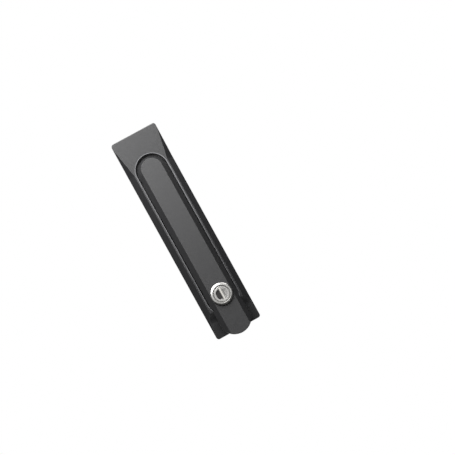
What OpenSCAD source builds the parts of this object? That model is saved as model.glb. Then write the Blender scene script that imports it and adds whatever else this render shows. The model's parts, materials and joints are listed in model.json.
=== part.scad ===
// Slim swing-handle lock for a rack or cabinet door.
// Drawn lying on its back: x across the door, y up the door and z out of the door, with
// z = 0 on the panel. The last step stands each piece up, so that the door's height is +Z
// and the front of the lock faces -Y. The lever is drawn sprung out of its pocket, as the
// key leaves it, because only then can it swing over the rim.

/* [Dish] */
// Length of the dish along the door
dish_l = 170; // [167:0.5:175]
// Width of the dish across the door
dish_w = 38; // [36:0.5:44]
// Height of the dish's outer edge above the panel
edge_h = 2; // [1.8:0.1:2.6]
// Height of the rim round the pocket above the panel
rim_h = 8; // [7.8:0.1:8.4]
// Width of the flat rim beside the pocket
rim_w = 1.5; // [1:0.1:2]
// Radius of the four outer corners
corner_r = 2; // [1:0.5:4]
// Distance from the top edge down to where the side facets begin
facet_drop = 4; // [2:0.5:8]
// Length of the facets that narrow the head to the rim
facet_l = 25; // [20:1:30]
// Length of the low end under the lever's grip
low_end_l = 11.5; // [10:0.5:14]
// Height of the dish where the low end begins
low_end_h = 3.5; // [3:0.1:4]
// Fall of the low end's top in degrees
low_end_fall = 7; // [3:0.5:7]
// Radius of the hollow curve between the rim and the low end
scoop_r = 12; // [11:0.5:14]
// Radius of the head's upper edge
head_round = 0.6; // [0.3:0.1:1]

/* [Pocket] */
// Width of the pocket that the lever lies in
pocket_w = 25.5; // [25.2:0.1:26.5]
// Edge break round the pocket's mouth
mouth_break = 0.25; // [0.2:0.05:0.6]
// Height of the ledge inside the pocket above the panel
ledge_h = 1.2; // [1:0.1:1.4]
// Width of the narrow well under the ledge
well_w = 21.8; // [21.6:0.1:22.2]
// Depth of the well's floor behind the panel
floor_d = 2; // [1.8:0.1:2.6]
// Thickness of the well's floor
floor_t = 2.5; // [2:0.1:4]
// Distance from the top edge down to the spindle's axis
spindle_drop = 31.5; // [30.5:0.5:34]
// Distance from the bottom edge up to the lock's axis
lock_rise = 29.7; // [29:0.1:31]
// Distance from the lock's axis down to the middle of the pocket's round end
pocket_tail = 2; // [1.8:0.1:3]

/* [Door] */
// How far the dish reaches past the door's cut-out at each end
flange_l = 10; // [8:0.5:11]
// Width of the cut-out in the door
cutout_w = 25; // [24.8:0.1:26]
// Play between the cut-out and the plinth on each side
cutout_play = 0.2; // [0.1:0.05:0.3]
// Radius of the plinth's corners
plinth_corner_r = 3; // [1:0.5:5]
// Distance from the cut-out's ends to the fixing threads
fixing_inset = 5.5; // [5:0.1:6.5]
// Outer diameter of the fixing bosses
boss_d = 9; // [8.4:0.1:9.6]
// Depth of the fixing bosses behind the panel
boss_depth = 11; // [10.5:0.5:14]
// Hole of the brass thread inserts, for an M5 thread
insert_hole_d = 4.2; // [3.3:0.1:4.4]
// Outer diameter of the thread inserts
insert_d = 6.4; // [6:0.1:7]
// Length of the thread inserts
insert_l = 7.5; // [5:0.5:7.5]
// Width of the gasket behind the flange
gasket_w = 3.2; // [2:0.1:3.4]
// Depth of the gasket's groove
gasket_t = 1; // [0.6:0.1:1.2]
// Distance from the dish's outline in to the gasket
gasket_inset = 1.8; // [1.2:0.1:2]

/* [Spindle] */
// Diameter of the spindle's shaft
shaft_d = 12; // [11.6:0.1:12.4]
// Depth of the hub behind the panel
hub_d = 18; // [16:0.5:24]
// Wall of the plain bush round the shaft
bush_wall = 1.5; // [1:0.1:2]
// Thickness of the bush's flange
bush_flange_t = 1; // [0.8:0.1:1.2]
// Diameter of the collar on top of the bush
collar_d = 18.6; // [17:0.2:19]
// Thickness of the collar
collar_t = 1.5; // [1.2:0.1:1.7]
// Width across the spindle's square tail
square_w = 8; // [7:0.1:8.2]
// Thickness of the thrust washer
thrust_t = 0.8; // [0.5:0.1:1.2]
// Thickness of the retaining ring
clip_t = 1; // [0.8:0.1:1.5]
// Depth of the retaining ring's groove
clip_groove = 0.7; // [0.5:0.1:1]
// Length of the shaft between the retaining ring and the square
land_l = 1.2; // [1:0.1:2]
// Cord thickness of the spindle's O-ring
oring_d = 1.06; // [0.9:0.02:1.2]
// Depth of the O-ring behind the panel
oring_depth = 7; // [6:0.5:12]

/* [Rear drive] */
// Thickness of the stop disc
stop_t = 2; // [1.5:0.1:3]
// Width of the stop disc's tab
stop_tab_w = 6; // [4:0.5:7]
// Distance from the spindle's axis to each rod pin
rod_throw = 14; // [13:0.5:18]
// Thickness of the rod plate
plate_t = 3; // [2:0.1:4]
// Width of the rod plate's arms
plate_w = 14; // [12:0.5:16]
// Diameter of the rod pins
rod_pin_d = 6; // [5:0.1:7]
// Length of the rod pins behind the plate
rod_pin_l = 7.2; // [6:0.2:9]
// Diameter of the plate screw's thread
screw_d = 6; // [5:0.1:6.2]
// Height of the plate screw's head
screw_head_h = 4; // [3:0.1:5]
// Width across the flats of the plate screw's head
screw_head_w = 10; // [8:0.5:11]
// Thickness of the plate's washer
washer_t = 1.6; // [1:0.1:2]
// Diameter of the plate's washer
washer_d = 15; // [12.5:0.5:18]

/* [Lever] */
// Width of the lever
lever_w = 24; // [23.6:0.1:24.4]
// Width of the lever's flat face
flat_w = 16.6; // [16:0.1:17.4]
// Height of the flat face above the panel with the handle shut
flat_h = 13; // [12.8:0.1:13.6]
// Height of the lever's side bevels
bevel_h = 5.8; // [5.4:0.1:6]
// Distance from the spindle's axis to the upper end of the flat face
flat_reach = 8.4; // [8:0.1:8.8]
// Distance from the spindle's axis to the lever's upper end
head_reach = 10.5; // [10.2:0.1:10.7]
// Length of the lever's grip past the dish's bottom edge
overhang = 3.2; // [2:0.1:5]
// Radius of the grip's round end
end_r = 12.7; // [12.5:0.1:15]
// Radius of the edge round the grip's end
grip_round = 0.5; // [0.3:0.1:0.8]
// Thickness of the lever's walls
lever_wall = 2.2; // [2:0.1:2.4]
// Thickness of the ribs under the lever
rib_t = 1.6; // [1.2:0.1:2]
// Number of ribs across the lever
cross_ribs = 5; // [4:1:7]
// Angle in degrees that the spring lifts the lever out of its pocket
pop_angle = 3.5; // [3.4:0.05:3.8]
// Height of the hinge pin above the panel
pin_h = 4.5; // [4.4:0.1:4.8]
// Diameter of the hinge pin
pin_d = 4; // [3.6:0.1:4.2]
// Radius of the eyes round the hinge pin
eye_r = 4.1; // [4:0.05:4.2]
// Thickness of the spindle's two ears
ear_t = 2.4; // [2:0.1:2.5]
// Wire thickness of the pop-out spring
spring_wire = 0.8; // [0.6:0.05:0.9]
// Number of full turns of the pop-out spring
spring_turns = 5; // [4:1:6]

/* [Lock] */
// Diameter of the lock's bright ring
ring_d = 17.1; // [16.8:0.1:17.6]
// Height of the lock's face above the lever's flat face
face_h = 2.1; // [1.8:0.1:2.6]
// Radius of the ring's crowned front, seen from the side
crown_r = 3.2; // [2.6:0.1:5]
// Thickness of the black seal under the ring
seal_t = 0.45; // [0.3:0.05:0.6]
// Diameter of the sleeve inside the lever
sleeve_d = 15.2; // [15:0.1:15.4]
// Diameter of the turning plug
plug_d = 11.5; // [11.3:0.1:11.6]
// Height of the sleeve's lower end above the panel
sleeve_low_h = 5.4; // [5.3:0.1:5.6]
// Thickness of the sleeve's clip
sleeve_clip_t = 1; // [0.8:0.1:1.2]
// Width of the keyway
keyway_w = 1.15; // [1:0.05:1.3]
// Length of the keyway
keyway_l = 9.8; // [9:0.1:10]
// Number of wafers
wafer_count = 5; // [3:1:5]
// Thickness of each wafer
wafer_t = 0.6; // [0.4:0.05:0.7]
// Travel of the wafers
wafer_travel = 0.9; // [0.5:0.1:0.95]
// Width of the wafers
wafer_w = 5.2; // [4.6:0.1:5.4]
// Reach of the locking tongue from the lock's axis
tongue_reach = 14.6; // [14:0.1:14.8]
// Width of the locking tongue
tongue_w = 8; // [6:0.5:8]
// Thickness of the locking tongue
tongue_t = 1.8; // [1.4:0.1:1.8]
// Height of the head of the tongue's screw
tongue_head_h = 1.4; // [1:0.1:1.4]
// Thickness of the flap that covers the keyway
flap_t = 0.5; // [0.4:0.05:0.6]

/* [Hidden] */
$fn = 64;

// How far a cutting shape runs past the face that it opens
cut = 1;
// Larger than the whole lock, for half spaces
far = 400;
// Play between a piece and the seat that it is pressed into
press_play = 0.02;
// Play of a shaft or pin that turns in its hole
run_play = 0.05;
// Gap between flat faces that slide past each other
slide_gap = 0.1;
// Gap between the lever and the dish round the pocket
side_gap = 0.4;
// Gap between the shut lever and what lies under it
lid_gap = 0.3;
// Gap between the rim and the sprung-out lever that swings over it
swing_gap = 0.25;

pocket_r = pocket_w / 2;
well_r = well_w / 2;
rim_x = pocket_r + rim_w;
spindle_y = dish_l / 2 - spindle_drop;
lock_y = lock_rise - dish_l / 2;
pocket_low_y = lock_y - pocket_tail;
facet_low_y = dish_l / 2 - facet_drop - facet_l;
cutout_l = dish_l - 2 * flange_l;
low_end_y = low_end_l - dish_l / 2;
plinth_w = cutout_w - 2 * cutout_play;
plinth_l = cutout_l - 2 * cutout_play;
plinth_d = floor_d + floor_t;
well_low_y = max(pocket_low_y, floor_t + well_r - plinth_l / 2);
fixing_y = cutout_l / 2 - fixing_inset;
gasket_w_out = dish_w - 2 * gasket_inset;
gasket_l_out = dish_l - 2 * gasket_inset;

// The ribs behind the dish and the thread inserts
rear_rib_d = 3.5;
rear_rib_t = 1.8;
rear_rib_count = 4;
rear_rib_pitch = 22;
rear_rib_start = 14;
rear_rib_y = spindle_y - plinth_w / 2 - rear_rib_start;
spine_w = 2;
insert_relief = 0.4;
knurl_d = 0.3;
knurl_gap_l = 0.2 * insert_l;

// Heights of the stack on the spindle, counted from the panel
shaft_r = shaft_d / 2;
bush_r = shaft_r + run_play + bush_wall;
collar_r = collar_d / 2;
collar_z = slide_gap - floor_d;
collar_top = collar_z + collar_t;
hub_r = plinth_w / 2;
hub_z = -hub_d;
thrust_z = hub_z - slide_gap - thrust_t;
clip_z = thrust_z - clip_t;
square_z = clip_z - slide_gap - land_l;
stop_z = square_z - stop_t;
plate_z = stop_z - plate_t;
washer_z = plate_z - washer_t;
screw_z = washer_z - screw_head_h;
stop_inset = 0.7;
stop_r = hub_r - stop_inset;
stop_well_r = collar_r + side_gap;
stop_ring_z = stop_z + 2 * slide_gap;
disc_r = stop_well_r - lid_gap;
groove_r = shaft_r - clip_groove;
clip_rim = 1.5;
clip_ear_x = 2.6;
clip_ear_y = shaft_r + 1.2;
clip_ear_r = 1.3;
clip_hole_r = 0.55;
oring_room = 1.6 * oring_d;
square_hole_w = square_w + 2 * press_play;
screw_hole_l = 14;
screw_l = 12;
screw_face_r = 0.475 * screw_head_w;
rod_shank_r = 0.4 * rod_pin_d;
rod_groove_z = plate_z - rod_pin_l + 0.8;
rod_groove_w = 0.7;

// The round upper end of the lever is a leaning cone that meets the side bevels along one
// line each. Its lean follows from the slopes of the bevels and of the upper end.
bevel_run = (lever_w - flat_w) / 2;
bevel_slope = atan(bevel_run / bevel_h);
head_slope = atan((head_reach - flat_reach) / bevel_h);
cone_lean = atan((sin(bevel_slope) - sin(head_slope)) / cos(head_slope));
cone_half = cone_lean + head_slope;
cone_l = 60;
apex_h = flat_h + flat_w / 2 / tan(bevel_slope);
apex_y = spindle_y + flat_reach - (apex_h - flat_h) * tan(head_slope);
seam_slope = tan(cone_lean) / pow(cos(bevel_slope), 2);
seam_lean = atan(seam_slope);
seam_y = apex_y - (apex_h - flat_h) * seam_slope;

bevel_low_h = flat_h - bevel_h;
lever_end_y = -dish_l / 2 - overhang;
end_y = lever_end_y + end_r;
cavity_low_x = lever_w / 2 - lever_wall;
cavity_top_h = flat_h - lever_wall;
cavity_top_x = flat_w / 2 - lever_wall * (1 - tan(bevel_slope));
cavity_head_y = apex_y - (apex_h - bevel_low_h) * seam_slope;
rib_high_y = spindle_y - 1.3 * pocket_r;
pin_r = pin_d / 2;
pin_bevel = 0.4;
lug_t = 3.2;
lug_x = cavity_low_x - lug_t;
ear_out_x = lug_x - lid_gap;
ear_in_x = ear_out_x - ear_t;
eye_block_w = 2 * (eye_r - slide_gap);

// The pop-out spring, seen along the hinge pin
wire_r = spring_wire / 2;
wire_sides = 6;
coil_steps = 16;
coil_play = 0.35;
coil_r = pin_r + coil_play + wire_r;
spring_foot = 6;
spring_reach = 11;

// The lock, counted from the panel with the handle shut
sleeve_r = sleeve_d / 2;
lock_bore_r = sleeve_r + press_play;
lock_boss_r = sleeve_r + lever_wall;
ring_r = ring_d / 2;
ring_land = 0.25;
ring_rise = 0.3;
seal_lip = 0.3;
seal_r = ring_r + seal_lip;
groove_w = 0.95;
groove_t = 0.8;
groove_fall = 0.45;
lip_t = 0.6;
lip_w = 0.9;
cavity_end_y = lock_y - lock_boss_r - rib_t;
plug_r = plug_d / 2;
plug_bore_r = plug_r + run_play;
face_z = flat_h + face_h;
ring_top = face_z + ring_rise;
crown_in_r = plug_r + groove_w + ring_land;
channel_r = plug_r + wafer_travel + slide_gap;
channel_wall = 0.25;
sleeve_clip_rim = 1.6;
sleeve_clip_z = sleeve_low_h + 0.9;
sleeve_flat_x = channel_r + channel_wall;
lock_boss_z = sleeve_clip_z + sleeve_clip_t;
slot_play = 0.3;
tongue_z = sleeve_low_h - 2 * slide_gap - tongue_t;
tongue_head_z = tongue_z - tongue_head_h;
tongue_hub_r = 5.4;
tongue_screw_r = 1.5;
tongue_head_r = 3;
tail_clamp = 0.6;
socket_r = 1.3;
tail_w = 6;
keyway_mid_y = 0.3;
keyway_floor = 0.6;
keyway_low_z = sleeve_low_h + lip_t + keyway_floor;
flap_room = 1.9;
keyway_clear_z = face_z - flap_room;
tongue_screw_gap = 0.4;
tongue_screw_top = keyway_low_z - tongue_screw_gap;
flap_pivot_x = -0.2;
flap_pivot_z = face_z - 2 * slide_gap - flap_t / 2;
axle_l = 0.4;
flap_spring_r = 0.12;
flap_spring_x = -0.8;
flap_spring_drop = 1.3;
flap_spring_z = face_z - flap_spring_drop;
flap_leg_x = 0.5;
spring_room_l = 7.4;
wafer_pitch = (keyway_clear_z - keyway_low_z) / wafer_count;
wafer_play = 0.05;
window_w = 2;
window_l = 7;
dial_rim = 1.15;
dial_r = plug_r - dial_rim;
dial_t = 0.15;
moon_r = 4.4;
moon_w = 3.4;
moon_l = 7.4;
moon_d = 0.8;
stripe_x = 1.6;
stripe_w = 0.7;
stripe_l = 5.6;
notch_r = 0.4;
stamp_x = 3.2;
stamp_y = 1.8;
stamp_r = 0.75;
stamp_w = 0.25;

BLACK = "#2b2b2d";
RUBBER = "#161616";
STEEL = "#9aa0a6";
NICKEL = "#c9c9c4";
BRASS = "#b5954a";

// Stands a piece up on the door
module upright() rotate([90, 0, 0]) children();

// Lifts a piece of the lever out of the pocket, about the hinge pin
module popped()
    translate([0, spindle_y, pin_h])
        rotate([-pop_angle, 0, 0])
            translate([0, -spindle_y, -pin_h])
                children();

module at_spindle(z = 0) translate([0, spindle_y, z]) children();

// Puts a piece of the lock in the lever
module in_lever() popped() translate([0, lock_y, 0]) children();

// A profile drawn in x and z, run from y0 to y1
module along_y(y0, y1)
    translate([0, y1, 0])
        rotate([90, 0, 0])
            linear_extrude(height = y1 - y0)
                children();

module along_x(x0, x1, r)
    translate([x0, 0, 0]) rotate([0, 90, 0]) cylinder(r = r, h = x1 - x0);

module slab(w, y0, y1, z0, z1) translate([-w / 2, y0, z0]) cube([w, y1 - y0, z1 - z0]);

module disc(r, z0, z1) translate([0, 0, z0]) cylinder(r = r, h = z1 - z0);

module ring(r_out, r_in, z0, z1)
    difference() {
        disc(r_out, z0, z1);
        disc(r_in, z0 - cut, z1 + cut);
    }

// A slot with round ends
module stadium(r, y0, y1, z0, z1) {
    slab(2 * r, y0, y1, z0, z1);
    for (y = [y0, y1]) translate([0, y, 0]) disc(r, z0, z1);
}

// A block with round corners
module round_block(w, l, r, z0, z1)
    difference() {
        slab(w, -l / 2, l / 2, z0, z1);
        for (mx = [0, 1], my = [0, 1])
            mirror([mx, 0, 0])
                mirror([0, my, 0])
                    translate([w / 2 - r, l / 2 - r, 0])
                        difference() {
                            translate([0, 0, z0 - cut]) cube([r + cut, r + cut, z1 - z0 + 2 * cut]);
                            disc(r, z0 - 2 * cut, z1 + 2 * cut);
                        }
    }

// The plane that cuts one side of the head down to the rim
module facet_cut() {
    run = dish_w / 2 - rim_x;
    fall = rim_h - edge_h;
    normal = [fall * facet_l, -run * fall, run * facet_l];
    translate([rim_x, facet_low_y, rim_h])
        rotate([0, acos(normal.z / norm(normal)), atan2(normal.y, normal.x)])
            translate([-far / 2, -far / 2, 0])
                cube([far, far, far]);
}

// The hollow curve and the sloping plane over the dish's low end
module scoop(gap) {
    translate([0, low_end_y, low_end_h + scoop_r])
        rotate([0, 90, 0])
            cylinder(r = scoop_r - gap, h = far, center = true);
    translate([0, low_end_y, low_end_h + gap])
        rotate([low_end_fall, 0, 0])
            translate([-far / 2, -far, 0])
                cube([far, far, far]);
}

// What is cut away along the head's upper edge to round it
module head_edge()
    difference() {
        slab(far, dish_l / 2 - head_round, far, rim_h - head_round, far);
        translate([0, dish_l / 2 - head_round, rim_h - head_round])
            along_x(-far, far, head_round);
    }

module dish_form() {
    half = dish_w / 2;
    intersection() {
        difference() {
            union() {
                along_y(-dish_l / 2, facet_low_y)
                    polygon([
                        [-half, 0], [half, 0], [half, edge_h],
                        [rim_x, rim_h], [-rim_x, rim_h], [-half, edge_h],
                    ]);
                difference() {
                    slab(dish_w, facet_low_y, dish_l / 2, 0, rim_h);
                    for (side = [0, 1]) mirror([side, 0, 0]) facet_cut();
                }
            }
            scoop(0);
            head_edge();
        }
        round_block(dish_w, dish_l, corner_r, -cut, rim_h + cut);
    }
}

module pocket() {
    stadium(pocket_r, pocket_low_y, spindle_y, ledge_h, rim_h + cut);
    stadium(well_r, well_low_y, spindle_y, -floor_d, ledge_h + cut);
    flare = mouth_break + cut;
    mouth_z = rim_h - mouth_break;
    along_y(pocket_low_y, spindle_y)
        polygon([
            [-pocket_r, mouth_z], [pocket_r, mouth_z],
            [pocket_r + flare, mouth_z + flare], [-pocket_r - flare, mouth_z + flare],
        ]);
    for (y = [pocket_low_y, spindle_y])
        translate([0, y, mouth_z])
            cylinder(r1 = pocket_r, r2 = pocket_r + flare, h = flare);
    // Slot in the side wall for the tongue
    translate([0, lock_y, 0])
        intersection() {
            disc(tongue_reach + 2 * slot_play, tongue_z - slot_play, tongue_z + tongue_t + slot_play);
            translate([0, -far / 2, 0]) cube([far, far, far]);
        }
}

// The quarter turn that the stop disc's tab is free to make
module stop_sweep() {
    w = stop_tab_w + 2 * slide_gap;
    translate([-w / 2, -hub_r - cut, stop_ring_z - cut])
        cube([w, hub_r + cut, hub_z - stop_ring_z + cut]);
    translate([0, -w / 2, stop_ring_z - cut])
        cube([hub_r + cut, w, hub_z - stop_ring_z + cut]);
    translate([0, -hub_r - cut, stop_ring_z - cut])
        cube([hub_r + cut, hub_r + cut, hub_z - stop_ring_z + cut]);
}

module rear_ribs() {
    rib_z = -plinth_d - rear_rib_d;
    slab(spine_w, -fixing_y, spindle_y, rib_z, -floor_d - cut);
    for (k = [0 : rear_rib_count - 1])
        translate([0, rear_rib_y - rear_rib_pitch * k, 0])
            slab(well_w, 0, rear_rib_t, rib_z + cut, -floor_d - cut);
}

module dish_body()
    color(BLACK) upright()
        difference() {
            union() {
                dish_form();
                round_block(plinth_w, plinth_l, plinth_corner_r, -plinth_d, ledge_h / 2);
                rear_ribs();
                at_spindle() disc(hub_r, stop_ring_z, -floor_d - cut);
                for (side = [-1, 1])
                    translate([0, side * fixing_y, 0])
                        disc(boss_d / 2, -boss_depth, -floor_d - cut);
            }
            pocket();
            at_spindle() {
                disc(bush_r + press_play, stop_ring_z - cut, ledge_h);
                disc(collar_r + press_play, -floor_d - bush_flange_t, ledge_h);
                disc(stop_well_r, stop_ring_z - cut, hub_z);
                stop_sweep();
            }
            for (side = [-1, 1])
                translate([0, side * fixing_y, 0])
                    disc(
                        insert_d / 2 + press_play,
                        -boss_depth - cut, insert_l + insert_relief - boss_depth
                    );
            difference() {
                round_block(gasket_w_out, gasket_l_out, corner_r, -cut, gasket_t);
                round_block(
                    gasket_w_out - 2 * gasket_w, gasket_l_out - 2 * gasket_w,
                    corner_r / 2, -2 * cut, gasket_t + cut
                );
            }
        }

module panel_gasket()
    color(RUBBER) upright()
        difference() {
            round_block(
                gasket_w_out - 2 * press_play, gasket_l_out - 2 * press_play,
                corner_r, 0, gasket_t
            );
            round_block(
                gasket_w_out - 2 * gasket_w + 2 * press_play,
                gasket_l_out - 2 * gasket_w + 2 * press_play,
                corner_r / 2, -cut, gasket_t + cut
            );
        }

module thread_inserts()
    color(BRASS) upright()
        for (side = [-1, 1])
            translate([0, side * fixing_y, 0])
                difference() {
                    disc(insert_d / 2, -boss_depth, insert_l - boss_depth);
                    disc(insert_hole_d / 2, -boss_depth - cut, insert_l - boss_depth + cut);
                    translate([0, 0, (insert_l - knurl_gap_l) / 2 - boss_depth])
                        ring(insert_d, insert_d / 2 - knurl_d, 0, knurl_gap_l);
                }

module spindle_bush()
    color(NICKEL) upright() at_spindle()
        difference() {
            union() {
                disc(bush_r, hub_z + slide_gap, -floor_d);
                disc(collar_r, -floor_d - bush_flange_t, -floor_d);
            }
            disc(shaft_r + run_play, hub_z - cut, cut);
        }

// One ear of the spindle's fork, or one lug of the lever, round the hinge pin
module eye(x0, x1, z) {
    translate([0, 0, pin_h]) along_x(x0, x1, eye_r);
    translate([x0, -eye_block_w / 2, min(z, pin_h)])
        cube([x1 - x0, eye_block_w, abs(z - pin_h)]);
}

module spindle()
    color(STEEL) upright() at_spindle()
        difference() {
            union() {
                disc(collar_r, collar_z, collar_top);
                disc(shaft_r, square_z, collar_top);
                translate([-square_w / 2, -square_w / 2, plate_z + 2 * slide_gap])
                    cube([square_w, square_w, square_z - plate_z]);
                for (side = [0, 1])
                    mirror([side, 0, 0]) eye(ear_in_x, ear_out_x, collar_top - slide_gap);
            }
            translate([0, 0, pin_h]) along_x(-far / 2, far / 2, pin_r + run_play);
            ring(shaft_d, groove_r, clip_z - slide_gap, clip_z + clip_t);
            ring(shaft_d, shaft_r - oring_d, -oring_depth - oring_room, -oring_depth);
            disc(screw_d / 2 + press_play, plate_z - cut, plate_z + screw_hole_l);
        }

module spindle_oring()
    color(RUBBER) upright() at_spindle(-oring_depth - oring_room / 2)
        rotate_extrude() translate([shaft_r + press_play - oring_d / 2, 0]) circle(d = oring_d);

module thrust_washer()
    color(NICKEL) upright() at_spindle()
        ring(disc_r, shaft_r + run_play, thrust_z, thrust_z + thrust_t);

module retaining_ring()
    color(STEEL) upright() at_spindle()
        difference() {
            union() {
                disc(shaft_r + clip_rim, clip_z, clip_z + clip_t);
                for (side = [-1, 1])
                    translate([side * clip_ear_x, clip_ear_y, 0])
                        disc(clip_ear_r, clip_z, clip_z + clip_t);
            }
            disc(groove_r + press_play, clip_z - cut, clip_z + clip_t + cut);
            slab(clip_ear_x, 0, shaft_d, clip_z - cut, clip_z + clip_t + cut);
            for (side = [-1, 1])
                translate([side * clip_ear_x, clip_ear_y, 0])
                    disc(clip_hole_r, clip_z - cut, clip_z + clip_t + cut);
        }

module square_hole(z0, z1) slab(square_hole_w, -square_hole_w / 2, square_hole_w / 2, z0, z1);

module stop_disc()
    color(STEEL) upright() at_spindle()
        difference() {
            union() {
                disc(disc_r, stop_z, square_z);
                intersection() {
                    slab(stop_tab_w, -hub_r, 0, stop_z, square_z);
                    disc(stop_r, stop_z - cut, square_z + cut);
                }
            }
            square_hole(stop_z - cut, square_z + cut);
        }

module rod_plate()
    color(STEEL) upright() at_spindle()
        difference() {
            union() {
                stadium(plate_w / 2, -rod_throw, rod_throw, plate_z, stop_z);
                disc(disc_r, plate_z, stop_z);
            }
            square_hole(plate_z - cut, stop_z + cut);
            for (side = [-1, 1])
                translate([0, side * rod_throw, 0])
                    disc(rod_shank_r + press_play, plate_z - cut, stop_z + cut);
        }

module rod_pins()
    color(NICKEL) upright() at_spindle()
        for (side = [-1, 1])
            translate([0, side * rod_throw, 0])
                difference() {
                    union() {
                        disc(rod_shank_r, plate_z, stop_z);
                        disc(rod_pin_d / 2, plate_z - rod_pin_l, plate_z);
                    }
                    ring(rod_pin_d, rod_shank_r, rod_groove_z, rod_groove_z + rod_groove_w);
                }

module plate_washer()
    color(NICKEL) upright() at_spindle()
        ring(washer_d / 2, screw_d / 2 + 2 * slide_gap, washer_z, plate_z);

module plate_screw()
    color(NICKEL) upright() at_spindle()
        union() {
            translate([0, 0, screw_z])
                intersection() {
                    cylinder(d = screw_head_w / cos(30), h = screw_head_h, $fn = 6);
                    cylinder(
                        r1 = screw_face_r, r2 = screw_face_r + screw_head_h / tan(30),
                        h = screw_head_h
                    );
                }
            disc(screw_d / 2, washer_z, plate_z + screw_l);
        }

// Everything under the rim that the shut lever must keep out of
module shut_walls()
    difference() {
        slab(far, -far, far, -far, rim_h + lid_gap);
        stadium(pocket_r - side_gap, pocket_low_y, spindle_y, ledge_h + lid_gap, rim_h + cut);
        intersection() {
            scoop(side_gap);
            slab(far, -far, pocket_low_y, 0, far);
        }
    }

// Everything under the rim that the sprung-out lever must keep out of as it swings
module swing_walls()
    difference() {
        slab(far, -far, far, -far, rim_h + swing_gap);
        at_spindle() disc(pocket_r - side_gap, -far - cut, rim_h + cut);
    }

module head_cone()
    intersection() {
        translate([0, apex_y, apex_h])
            rotate([180 - cone_lean, 0, 0])
                cylinder(r1 = 0, r2 = cone_l * tan(cone_half), h = cone_l);
        slab(far, spindle_y - head_reach, far, bevel_low_h, flat_h);
    }

module lever_form()
    intersection() {
        union() {
            intersection() {
                along_y(-far / 2, spindle_y + head_reach)
                    polygon([
                        [-lever_w / 2, -floor_d], [lever_w / 2, -floor_d],
                        [lever_w / 2, bevel_low_h], [flat_w / 2, flat_h],
                        [-flat_w / 2, flat_h], [-lever_w / 2, bevel_low_h],
                    ]);
                translate([0, seam_y - run_play, flat_h])
                    rotate([-seam_lean, 0, 0])
                        translate([-far / 2, -far, -far / 2])
                            cube([far, far, far]);
            }
            head_cone();
        }
        union() {
            slab(far, end_y, far, -far / 2, far / 2);
            translate([0, end_y, 0])
                difference() {
                    disc(end_r, -far / 2, far / 2);
                    translate([0, 0, flat_h]) grip_edge();
                }
        }
    }

// What is cut away round the grip's end to round its edge
module grip_edge()
    rotate_extrude()
        difference() {
            translate([end_r - grip_round, -grip_round]) square(2 * grip_round);
            translate([end_r - grip_round, -grip_round]) circle(r = grip_round);
        }

// The hollow under the lever, without its ribs, lugs and boss
module lever_hollow() {
    along_y(cavity_end_y, cavity_head_y)
        polygon([
            [-cavity_low_x, -floor_d - cut], [cavity_low_x, -floor_d - cut],
            [cavity_low_x, bevel_low_h], [cavity_top_x, cavity_top_h],
            [-cavity_top_x, cavity_top_h], [-cavity_low_x, bevel_low_h],
        ]);
    translate([0, cavity_head_y, 0]) {
        disc(cavity_low_x, -floor_d - cut, bevel_low_h);
        translate([0, 0, bevel_low_h])
            cylinder(
                r1 = cavity_low_x, r2 = cavity_top_x, h = cavity_top_h - bevel_low_h
            );
    }
    intersection() {
        translate([0, end_y, 0]) disc(end_r - lever_wall, -floor_d - cut, cavity_top_h);
        slab(2 * cavity_top_x, -far, cavity_end_y - rib_t, -far, cavity_top_h);
    }
}

module lever_ribs() {
    low_y = lock_y + lock_boss_r;
    pitch = (rib_high_y - low_y) / cross_ribs;
    slab(rib_t, low_y, rib_high_y, -floor_d - 2 * cut, flat_h - rib_t);
    for (k = [1 : cross_ribs])
        translate([0, low_y + pitch * k, 0])
            slab(lever_w - rib_t, -rib_t, 0, -floor_d - 2 * cut, flat_h - rib_t);
}

module tongue_sweep(gap)
    intersection() {
        disc(tongue_reach + gap, -far / 2, tongue_z + tongue_t + gap);
        translate([-tongue_w / 2 - gap, -tongue_w / 2 - gap, -far]) cube([far, far, 2 * far]);
    }

// The two lugs that carry the hinge pin
module lever_lugs(z)
    at_spindle()
        for (side = [0, 1])
            mirror([side, 0, 0]) eye(lug_x, cavity_low_x, z);

module handle_lever()
    color(BLACK) upright()
        difference() {
            popped()
                difference() {
                    union() {
                        difference() {
                            lever_form();
                            shut_walls();
                            difference() {
                                lever_hollow();
                                lever_ribs();
                                lever_lugs(flat_h);
                                translate([0, lock_y, 0]) disc(lock_boss_r, lock_boss_z, flat_h);
                            }
                        }
                        lever_lugs(bevel_low_h + slide_gap);
                    }
                    translate([0, lock_y, 0]) {
                        disc(lock_bore_r, -far / 2, far / 2);
                        disc(seal_r + press_play, flat_h - seal_t, far / 2);
                        disc(sleeve_r + sleeve_clip_rim + lid_gap, -far / 2, lock_boss_z);
                        tongue_sweep(slot_play);
                    }
                    at_spindle(pin_h) along_x(-far / 2, far / 2, pin_r + press_play);
                }
            swing_walls();
        }

module hinge_pin() {
    straight_x = cavity_low_x - slide_gap - pin_bevel;
    color(STEEL) upright() at_spindle(pin_h) {
        along_x(-straight_x, straight_x, pin_r);
        for (side = [0, 1])
            mirror([side, 0, 0])
                translate([straight_x, 0, 0])
                    rotate([0, 90, 0])
                        cylinder(r1 = pin_r, r2 = pin_r - pin_bevel, h = pin_bevel);
    }
}

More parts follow.
